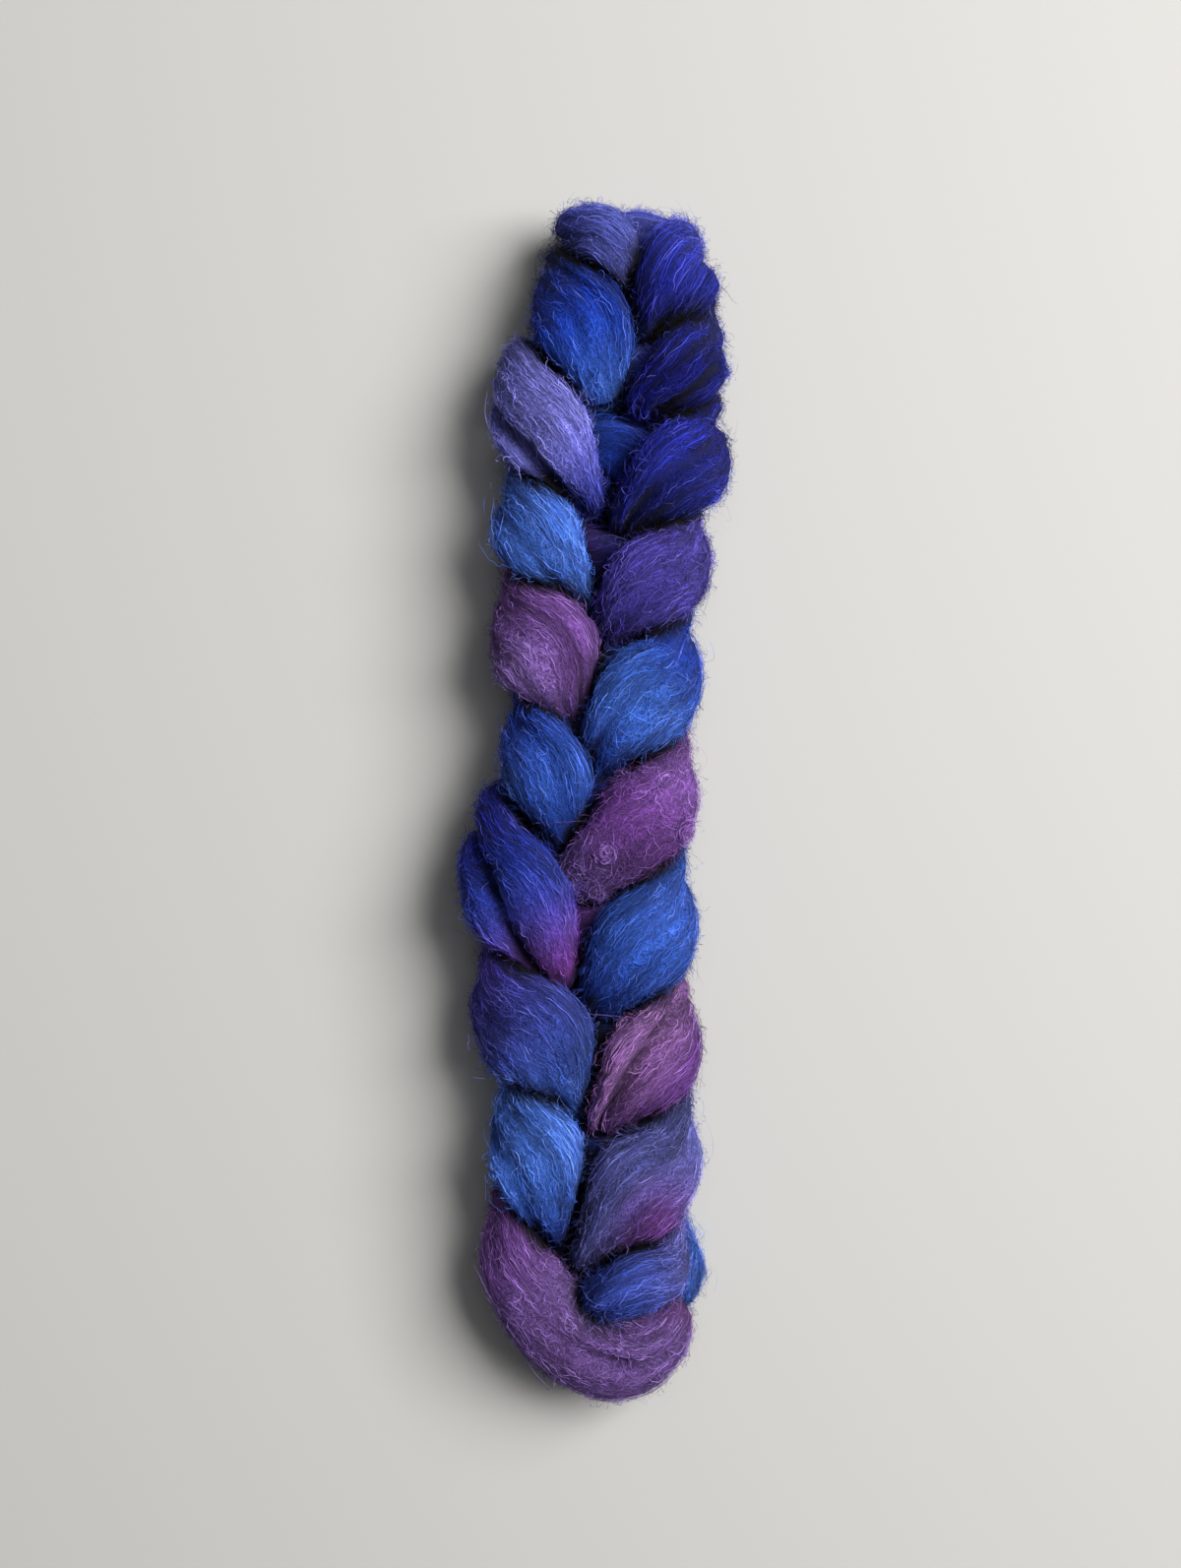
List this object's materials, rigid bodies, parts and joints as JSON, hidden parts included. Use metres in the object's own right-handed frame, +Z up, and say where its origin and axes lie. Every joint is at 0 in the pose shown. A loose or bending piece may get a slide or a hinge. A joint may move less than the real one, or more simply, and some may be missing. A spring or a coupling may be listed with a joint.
{
  "type": "braid of wool roving",
  "caption": "Braid of combed wool roving, folded double and chained by hand into a plump flat plait with a rounded bottom bend, lying flat.",
  "frame": {"origin": "middle of the bounding box, on the surface the braid lies on", "axes": "+Y along the braid towards its closed top, +X to its right, +Z up off the surface, the face with the V-shaped lobes up"},
  "size_m": [0.0826, 0.3626, 0.0382],
  "materials": {
    "wool": "matt, soft and fibrous"
  },
  "bodies": {
    "root": {"roving": "wool"}
  },
  "joints": []
}
